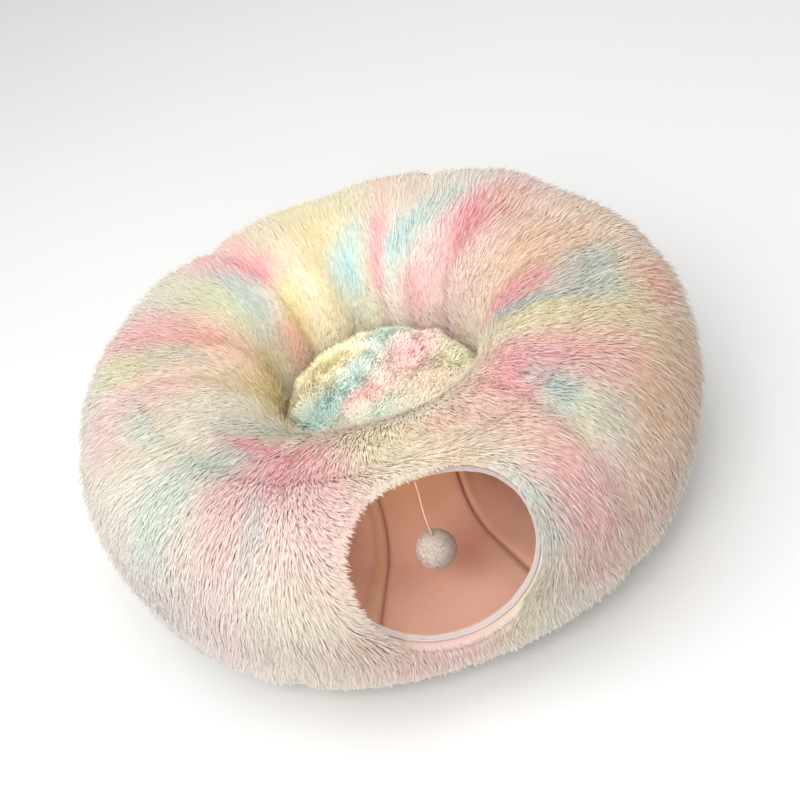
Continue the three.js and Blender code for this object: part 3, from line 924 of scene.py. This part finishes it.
def yarnMaterial():
    settings = finishes["pompom"]
    material, shader = newMaterial("pompom_yarn", settings["roughness"], 0.3)
    dye = marked(material, "dye", "Color")
    lengthwise = marked(material, "lengthwise")
    shade = marked(material, "shade")
    # Roots are painted darker: painted shade deep in the ball.
    paintedRootShading = mapRange(material, lengthwise, 0.0, 0.8, 0.78, 1.0)
    strand = mapRange(material, shade, 0.0, 1.0, 0.93, 1.03)
    feedColour(material, shader, dye, reckon(material, paintedRootShading, strand))
    return material


pileLook, backingLook, liningLook, yarnLook = (
    pileMaterial(), backingMaterial(), liningMaterial(), yarnMaterial())


def paint(piece, material):
    piece.data.materials.clear()
    piece.data.materials.append(material)
    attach(piece, "root")
    return piece


# A closed sheet round the section between two seams.
def layerPiece(name, azimuths, turns, outerPoint, innerPoint):
    columns = len(azimuths)
    rows = []
    for index, azimuth in enumerate(azimuths):
        shift = {0: 1, columns - 1: -1}.get(index, 0) * ring["seamGap"] / 2
        angle = math.radians(azimuth)
        aside = np.array([math.cos(angle), math.sin(angle), 0.0]) * shift
        rows += [outerPoint(azimuth, turns) + aside, innerPoint(azimuth, turns) + aside]
    count, outer = len(turns), []
    here = np.arange(count)
    after = (here + 1) % count
    for index in range(columns - 1):
        first, second = index * 2 * count, (index + 1) * 2 * count
        outer.append(np.stack([first + here, second + here, second + after, first + after], 1))
        first, second = first + count, second + count
        outer.append(np.stack([first + here, first + after, second + after, second + here], 1))
    last = (columns - 1) * 2 * count
    outer.append(np.stack([here, after, after + count, here + count], 1))
    outer.append(np.stack([last + here, last + here + count, last + after + count, last + after], 1))
    return meshPiece(name, np.concatenate(rows), np.concatenate(outer))


# The round plug that is cut from the front panels, as in the part's source.
def makePlug():
    clear = entrance["bindingThickness"] + entrance["bindingGap"]
    angle = np.arange(72) / 72 * 2 * math.pi
    depths = [-0.030, 0.0, entrance["bindingTop"], 0.017, entrance["bindingBottom"], 0.036]
    rings = []
    for depth in depths:
        flare = max(0.0, entrance["bindingTop"] - depth) * entrance["flare"]
        rings.append(entrancePoint(angle, clear + flare, depth))
    ends = [entrancePoint(np.zeros(1), -entrance["radius"], depths[end]) for end in (0, -1)]
    return cappedTube("entrance_plug", rings, ends)


def cutEntrance(piece):
    applyModifier(piece, "BOOLEAN", operation="DIFFERENCE", object=plug, solver="EXACT")
    bpy.ops.object.shade_smooth_by_angle(angle=math.radians(50))


# Turns a closed piece's faces outwards.
def facingOut(piece):
    a, b, c = trianglePoints(piece)
    if (a * np.cross(b, c)).sum() < 0:
        piece.data.flip_normals()
    return piece


# The azimuth and turn of points in the ring's wall.
def placesOf(points):
    azimuth = np.degrees(np.arctan2(points[:, 0], -points[:, 1]))
    outside = ring["outerRadius"] + outlineBulge(azimuth)
    middle, halfWidth = (outside + ring["holeRadius"]) / 2, (outside - ring["holeRadius"]) / 2
    across = (np.hypot(points[:, 0], points[:, 1]) - middle) / halfWidth
    rise = points[:, 2] - ring["wideLineHeight"]
    above = ring["crestHeight"] - ring["wideLineHeight"]
    rise = rise / np.where(rise > 0, above, ring["wideLineHeight"])
    power = np.where(rise > 0, ring["topRoundness"], ring["bottomRoundness"]) / 2
    turn = np.degrees(np.arctan2(np.sign(rise) * np.abs(rise) ** power,
                                 np.sign(across) * np.abs(across) ** power))
    return azimuth, np.where(turn < -120, turn + 360, turn)


def dyePiece(piece):
    points = meshPoints(piece)
    writeDye(piece.data, dyeColour(*placesOf(points), points))


plush = {"innerDepth": 0.0197, "columns": 25, "turnSteps": 60, "sectionLength": 0.86}
plug = makePlug()
facingOut(plug)


def makePlushPanel(name, start, end, number):
    turns = np.arange(plush["turnSteps"]) * 360.0 / plush["turnSteps"] - 90.0

    def innerPoint(azimuth, turn):
        return ringPoint(azimuth, turn, plush["innerDepth"])

    azimuths = np.linspace(start, end, plush["columns"])
    cloth = layerPiece("plush_" + name, azimuths, turns, clothPoint, innerPoint)
    facingOut(cloth)
    if name == "front":
        cutEntrance(cloth)
    dyePiece(cloth)
    paint(cloth, backingLook)
    strands = paint(makePile("pile_" + name, start, end, number), pileLook)
    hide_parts("plush_panel_" + name)
    panelArea(cloth)
    return cloth, strands


# Half the surface of a closed sheet, which is its cut.
def panelArea(piece):
    a, b, c = trianglePoints(piece)
    return float(np.linalg.norm(np.cross(b - a, c - a), axis=1).sum() / 4)


# The lining bulges a little inwards between its seams, so that each seam is a soft groove.
lining = {
    "outerDepth": 0.0205,
    "thickness": 0.0020,
    "fullness": 0.0045,
    "seamHalfWidth": 1.1,
    "foldDepth": 0.0026,
    "turnSteps": 72,
    "columns": 14,
    "sectionLength": 0.78,
}


# Marks the stitched seams, darker for their stitching and for painted shade in their grooves, and the
# folded allowance beside one.
def shadeSeams(piece, start, end, hasFold):
    points = meshPoints(piece)
    azimuth = start + (np.degrees(np.arctan2(points[:, 0], -points[:, 1])) - start + 20) % 360 - 20
    toSeam = np.minimum(np.abs(azimuth - start), np.abs(end - azimuth))
    stitchAndShade = np.exp(-(toSeam / 0.55) ** 2)
    fold = softStep(end - azimuth, 0.6, 1.4) * (1 - softStep(end - azimuth, 3.6, 5.0))
    writeValues(piece.data, "seamStitchAndShade", stitchAndShade)
    writeValues(piece.data, "fold", fold * hasFold)


# Azimuths across a lining panel, close together beside its seams.
def liningColumns(start, end):
    beside = np.array([0.0, 0.35, 0.7, 1.1, 1.6, 2.2, 3.0, 3.8, 4.6, 5.4])
    inner = np.linspace(start + 7.5, end - 7.5, lining["columns"])
    return np.concatenate([start + beside, inner, end - beside[::-1]])


def makeLiningPanel(name, start, end, hasFold):
    turns = np.arange(lining["turnSteps"]) * 360.0 / lining["turnSteps"] - 90.0

    def bulge(azimuth, turn):
        fromSeam = min(azimuth - start, end - azimuth)
        full = 1 - math.exp(-(fromSeam / lining["seamHalfWidth"]) ** 2)
        folded = softStep(end - azimuth, 0.2, 1.0) * (1 - softStep(end - azimuth, 4.2, 5.2)) * hasFold
        points = ringPoint(azimuth, turn, 0.02)
        ripple = 0.0016 * softNoise(points, 0.05, 31) + 0.0008 * softNoise(points, 0.02, 32)
        sleeve = 1 - softStep(np.hypot(*entrancePlace(azimuth, turn)), 0.115, 0.14)
        return ((lining["fullness"] + ripple) * full + lining["foldDepth"] * folded) * (1 - sleeve)

    def outerPoint(azimuth, turn):
        return ringPoint(azimuth, turn, lining["outerDepth"] + bulge(azimuth, turn))

    def innerPoint(azimuth, turn):
        depth = lining["outerDepth"] + lining["thickness"] + bulge(azimuth, turn)
        return ringPoint(azimuth, turn, depth)

    cloth = layerPiece("lining_" + name, liningColumns(start, end), turns, outerPoint, innerPoint)
    facingOut(cloth)
    if name == "front":
        cutEntrance(cloth)
    shadeSeams(cloth, start, end, hasFold)
    paint(cloth, liningLook)
    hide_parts("lining_panel_" + name)
    panelArea(cloth)
    return cloth


# Binding tape, folded over the edge, with a stitched groove along its middle.
binding = {
    "steps": 180,
    "tapeDepths": (0.0120, 0.0205),
    "tapeThickness": 0.0022,
    "grooveDepth": 0.0011,
}


def makeBinding():
    top, bottom = binding["tapeDepths"]
    outside = entrance["bindingThickness"] + entrance["bindingGap"] - 0.0002
    inside, middle = outside - binding["tapeThickness"], (top + bottom) / 2
    section = [  # outwards, depth
        (inside + 0.0006, top + 0.0003), (inside + 0.0015, top), (outside - 0.0006, top + 0.0003),
        (outside, top + 0.0012), (outside, middle), (outside, bottom - 0.0012),
        (outside - 0.0006, bottom - 0.0003), (inside + 0.0015, bottom),
        (inside + 0.0006, bottom - 0.0003), (inside, bottom - 0.0012), (inside, middle + 0.0018),
        (inside + 0.0004, middle + 0.0007), (inside + binding["grooveDepth"], middle),
        (inside + 0.0004, middle - 0.0007), (inside, middle - 0.0018), (inside, top + 0.0012),
    ]
    angle = np.arange(binding["steps"]) / binding["steps"] * 2 * math.pi
    loops = []
    for outwards, depth in section:
        plain = entrancePoint(angle, outwards, depth)
        pucker = 0.00035 * softNoise(plain, 0.006, 41) + 0.0003 * softNoise(plain, 0.02, 42)
        loops.append(entrancePoint(angle, np.clip(outwards + pucker, 0, outside), depth))
    points = np.stack(loops, axis=1).reshape(-1, 3)
    count = len(section)
    quads = closedLoops(count, binding["steps"], wrapAround=True)
    piece = meshPiece("entrance_tape", points, quads)
    facingOut(piece)
    corners = cornerIndices(piece)
    along = corners // count / binding["steps"] * 2 * math.pi * entrance["radius"]
    across = corners % count / count * 0.040
    writeChart(piece.data, "tape", np.stack([along, across], 1))
    paint(piece, wovenMaterial("binding_tape", finishes["binding"], "tape"))
    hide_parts("entrance_binding")
    return piece


# The cushion in the hole: a filled cover with short curly pile.
cushion = {
    "pileDepth": 0.0030,
    "voxel": 0.0075,
    "pressure": 4.0,
    "cap": 0.008,
    "strandCount": 24000,
    "strandLength": 0.0105,
    "strandWidth": 0.0015,
    "rimRadius": 0.092,
    "lowestPile": 0.112,
}
cushionPatches = [  # colour, x, y, half length, half width, direction in degrees, strength
    ("paleYellow", -0.045, 0.075, 0.062, 0.050, 30, 0.9),
    ("yellow", -0.085, 0.035, 0.048, 0.036, 60, 0.5),
    ("mint", 0.028, 0.085, 0.040, 0.030, 60, 0.8), ("mint", 0.012, 0.045, 0.040, 0.018, 60, 0.6),
    ("teal", -0.040, 0.002, 0.055, 0.020, 40, 0.75),
    ("teal", -0.088, -0.030, 0.042, 0.030, 50, 0.8),
    ("softPink", 0.052, 0.030, 0.055, 0.036, 40, 0.8),
    ("pink", 0.042, 0.014, 0.034, 0.020, 60, 0.5),
    ("pink", -0.022, -0.036, 0.036, 0.016, 20, 0.75),
    ("green", 0.104, 0.004, 0.040, 0.036, 60, 0.6),
    ("peach", 0.055, -0.045, 0.042, 0.026, 20, 0.6),
    ("mint", -0.015, -0.074, 0.040, 0.018, 20, 0.6),
]

def makeCushion():
    piece = placeNew("cushion_cover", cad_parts["centre_cushion"].data.copy())
    selectOnly(piece)
    bpy.ops.object.mode_set(mode="EDIT")
    bpy.ops.mesh.select_all(action="SELECT")
    bpy.ops.mesh.remove_doubles(threshold=0.0001)
    bpy.ops.mesh.normals_make_consistent(inside=False)
    bpy.ops.object.mode_set(mode="OBJECT")
    solid = meshPoints(piece)
    inset = cushion["pileDepth"]
    share = 1 - inset / ring["holeRadius"]
    height = solid[:, 2].max()
    shrunk = np.stack([solid[:, 0] * share, solid[:, 1] * share,
                       0.001 + solid[:, 2] * (height - inset) / height], 1)
    piece.data.vertices.foreach_set("co", shrunk.ravel())
    applyModifier(piece, "REMESH", mode="VOXEL", voxel_size=cushion["voxel"])
    puffCushion(piece)
    applyModifier(piece, "SMOOTH", factor=0.5, iterations=12)
    applyModifier(piece, "SUBSURF", levels=1, render_levels=1)
    piece.data.shade_smooth()
    return facingOut(piece)


# Fills the cover with a cloth simulation and keeps it within a few millimetres.
def puffCushion(piece):
    before = meshPoints(piece)
    cloth = piece.modifiers.new("cloth", "CLOTH")
    cloth.settings.use_pressure = True
    cloth.settings.uniform_pressure_force = cushion["pressure"]
    cloth.settings.effector_weights.gravity = 0.0
    cloth.settings.quality = 5
    scene = bpy.context.scene
    for step in range(1, 21):
        scene.frame_set(step)
    selectOnly(piece)
    bpy.ops.object.modifier_apply(modifier="cloth")
    moved = meshPoints(piece) - before
    far = np.linalg.norm(moved, axis=1, keepdims=True)
    moved *= np.minimum(1.0, cushion["cap"] / np.maximum(far, 1e-9))
    after = before + moved
    after[:, 2] = np.maximum(after[:, 2], 0.001)
    piece.data.vertices.foreach_set("co", after.ravel())
    scene.frame_set(1)


# The cushion's own patches of dye.
def cushionColour(points):
    x = points[:, 0] + 0.008 * softNoise(points, 0.04, 51) + 0.004 * softNoise(points, 0.014, 53)
    y = points[:, 1] + 0.008 * softNoise(points, 0.04, 52) + 0.004 * softNoise(points, 0.014, 54)
    tint = np.tile(screenToLight(palette["cream"]), (len(points), 1))
    for colour, middleX, middleY, halfLength, halfWidth, direction, strength in cushionPatches:
        angle = math.radians(direction)
        along = (x - middleX) * math.cos(angle) + (y - middleY) * math.sin(angle)
        across = (y - middleY) * math.cos(angle) - (x - middleX) * math.sin(angle)
        far = (along / halfLength) ** 2 + (across / halfWidth) ** 2
        weight = (np.exp(-far ** 1.2) * strength)[:, None]
        tint = tint * (1 - weight) + screenToLight(palette[colour]) * weight
    return tint


def makeCushionPile(cover):
    random = np.random.default_rng(77)
    a, b, c = trianglePoints(cover)
    normal = np.cross(b - a, c - a)
    area = np.linalg.norm(normal, axis=1)
    normal /= np.maximum(area, 1e-12)[:, None]
    middle = (a + b + c) / 3
    weight = area * (middle[:, 2] > cushion["lowestPile"]) * (normal[:, 2] > -0.2)
    spots = evenSpread(cushion["strandCount"], 5)
    chosen = np.searchsorted(np.cumsum(weight) / weight.sum(), spots[:, 0]).clip(0, len(weight) - 1)
    u, v = spots[:, 1:2], random.random((len(spots), 1))
    u, v = np.where(u + v > 1, 1 - u, u), np.where(u + v > 1, 1 - v, v)
    place = a[chosen] + u * (b[chosen] - a[chosen]) + v * (c[chosen] - a[chosen])
    outward = normal[chosen]
    angle = 1.8 * softNoise(place, 0.020, 61) + 1.6 * softNoise(place, 0.008, 62)
    angle = angle + random.normal(0, 0.6, len(place))
    lay = np.stack([np.cos(angle), np.sin(angle), np.zeros(len(place))], 1)
    radius = np.hypot(place[:, 0], place[:, 1])
    rim = softStep(radius, cushion["rimRadius"], cushion["rimRadius"] + 0.022)
    away = np.stack([place[:, 0], place[:, 1], radius * 0.8], 1) / radius[:, None]
    lay = lay * (1 - rim[:, None]) + away * rim[:, None]
    lay -= outward * (lay * outward).sum(1, keepdims=True)
    lay /= np.maximum(np.linalg.norm(lay, axis=1, keepdims=True), 1e-6)
    rise = 32 + 7 * softNoise(place, 0.012, 63) + random.normal(0, 6, len(place))
    rise = np.radians(np.clip(rise, 10, 70))
    length = cushion["strandLength"] * random.uniform(0.7, 1.1, len(place)) * (1 + 0.5 * rim)
    roots = place - outward * 0.0015
    direction = lay * np.cos(rise)[:, None] + outward * np.sin(rise)[:, None]
    curled = np.cross(outward, lay) * random.uniform(-0.25, 0.25, (len(place), 1))
    middles = place + direction * (length * 0.5)[:, None]
    tips = place + (direction + curled) * length[:, None]
    tints = cushionColour(place + random.normal(0, 0.0022, place.shape))
    widths = cushion["strandWidth"] * random.uniform(0.75, 1.2, len(place))
    places = 0.5 + place[:, :2] / 0.28
    return strandMesh("pile_cushion", roots, middles, tips, outward, widths, tints,
                      random.uniform(0, 1, len(place)), places)


# A ball of cut yarn: a small core and trimmed strands all round.
def makePompom():
    random = np.random.default_rng(9)
    count = pompom["strandCount"]
    index = np.arange(count) + 0.5
    polar, angle = np.arccos(1 - 2 * index / count), index * math.pi * (1 + 5 ** 0.5)
    outward = np.stack([np.sin(polar) * np.cos(angle), np.sin(polar) * np.sin(angle), np.cos(polar)], 1)
    sideways = np.cross(outward, random.normal(0, 1, outward.shape))
    sideways /= np.linalg.norm(sideways, axis=1, keepdims=True)
    middle = np.array(pompom["middle"])
    core, rim = pompom["coreRadius"], pompom["radius"] * random.uniform(0.97, 1.03, count)
    roots = middle + outward * (core - 0.0012)
    middles = middle + outward * (core + 0.0010) + sideways * 0.0014
    tips = middle + outward * rim[:, None] + sideways * random.uniform(0.002, 0.004, (count, 1))
    tints = np.tile(screenToLight(finishes["pompom"]["colour"]), (count, 1))
    widths = pompom["strandWidth"] * random.uniform(1.6, 2.4, count)
    places = np.stack([angle / (2 * math.pi) % 1.0, polar / math.pi], 1) * 0.96 + 0.02
    yarn = strandMesh("pompom_yarn", roots, middles, tips, outward, widths, tints,
                      random.uniform(0, 1, count), places)
    deselectAll()
    bpy.ops.mesh.primitive_ico_sphere_add(subdivisions=3, radius=core, location=middle)
    ball = bpy.context.object
    ball.name = ball.data.name = "pompom_core"
    bpy.ops.object.transform_apply(location=True, rotation=True, scale=True)
    bumps = meshPoints(ball)
    lumpy = middle + (bumps - middle) * (1 + 0.05 * softNoise(bumps, 0.006, 71))[:, None]
    ball.data.vertices.foreach_set("co", lumpy.ravel())
    ball.data.shade_smooth()
    writeDye(ball.data, np.tile(pompom["coreDye"], (len(bumps), 1)))
    for piece in (yarn, ball):
        paint(piece, yarnLook)
    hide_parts("pompom")
    return yarn, ball


for panelNumber, (panelName, seamStart, seamEnd, panelSlot) in enumerate(plushPanels):
    cloth, strands = makePlushPanel(panelName, seamStart, seamEnd, panelNumber + 1)
    print("plush", panelName, len(strands.data.polygons), "triangles of pile")
for panelName, seamStart, seamEnd, panelFold in liningPanels:
    makeLiningPanel(panelName, seamStart, seamEnd, panelFold)
print("lining sewn in")
makeBinding()
bpy.data.objects.remove(plug)
print("entrance bound")

cushionCover = makeCushion()
writeDye(cushionCover.data, cushionColour(meshPoints(cushionCover)))
paint(cushionCover, backingLook)
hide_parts("centre_cushion")
cushionPile = paint(makeCushionPile(cushionCover), pileLook)
print("cushion filled")

pompomYarn, pompomCore = makePompom()
x, y, z = meshPoints(stringPiece)[cornerIndices(stringPiece)].T
stringSide = np.arctan2(y - pompom["middle"][1], x) * string["diameter"] / 2
writeChart(stringPiece.data, "braid", np.stack([stringSide, z], 1))
paint(stringPiece, wovenMaterial("elastic_string", finishes["string"], "braid"))
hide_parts("pompom_string")
print("pompom hangs")

studio = {
    "lamps": [  # name, place, aim, size, power, colour
        ("key", (-1.3, 0.0, 2.1), (0, 0, 0.1), 2.0, 11.0, (1.0, 0.99, 0.98)),
        ("top", (0.2, 0.4, 2.7), (0, 0, 0.1), 2.4, 17.0, (1.0, 1.0, 1.0)),
        ("main", (-0.55, -1.25, 1.40), (0, 0, 0.1), 1.1, 11.5, (1.0, 0.99, 0.97)),
        # small ones inside the tunnel, which the photo shows evenly bright
        ("tunnel_0", (-0.085, -0.325, 0.2), (-0.04, -0.2, 0.06), 0.07, 0.108, (1.0, 0.98, 0.95)),
        ("tunnel_1", (0.085, -0.325, 0.2), (0.0, -0.2, 0.06), 0.07, 0.012, (1.0, 0.98, 0.95)),
    ],
    "holePlace": (0.0, -0.9, 2.0), "holeAim": (0.0, 0.09, 0.16), "holePower": 110.0,
    "holeAngle": 12.0,
    "sky": 0.60,
}


def addLamp(name, kind, place, aim, power):
    lamp = placeNew(name, bpy.data.lights.new(name, kind))
    lamp.data.energy = power
    lamp.location = place
    lamp.rotation_euler = (Vector(aim) - Vector(place)).to_track_quat("-Z", "Y").to_euler()
    return lamp


def makeStudio():
    deselectAll()
    bpy.ops.mesh.primitive_plane_add(size=14.0, location=(0, 0, 0))
    floor = bpy.context.object
    floor.name = "studio_floor"
    settings = finishes["floor"]
    material, shader = newMaterial("studio_floor", settings["roughness"])
    shader.inputs["Specular IOR Level"].default_value = 0.0
    grain = noise(material, surfacePlace(material), 3.0)
    tint = mixColours(material, grain, lightColour(settings["from"]), lightColour(settings["to"]))
    feed(material, tint, shader, "Base Color")
    floor.data.materials.append(material)
    floor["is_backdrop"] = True
    world = bpy.data.worlds.new("studio")
    world.use_nodes = True
    world.node_tree.nodes["Background"].inputs["Color"].default_value = (1.0, 1.0, 1.0, 1.0)
    world.node_tree.nodes["Background"].inputs["Strength"].default_value = studio["sky"]
    bpy.context.scene.world = world
    for name, place, aim, size, power, colour in studio["lamps"]:
        lamp = addLamp(name, "AREA", place, aim, power)
        lamp.data.shape, lamp.data.size, lamp.data.color = "DISK", size, colour
        lamp.visible_camera = False
    # A narrow soft-edged lamp lifts the hole, as a reflector would.
    lamp = addLamp("hole_lamp", "SPOT", studio["holePlace"], studio["holeAim"], studio["holePower"])
    lamp.data.spot_size, lamp.data.spot_blend = math.radians(studio["holeAngle"]), 1.0
    lamp.data.shadow_soft_size = 0.08
    bpy.context.scene.view_settings.view_transform = "Standard"


makeStudio()
print("studio lit")

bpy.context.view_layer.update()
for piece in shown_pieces():
    piece.data.calc_loop_triangles()
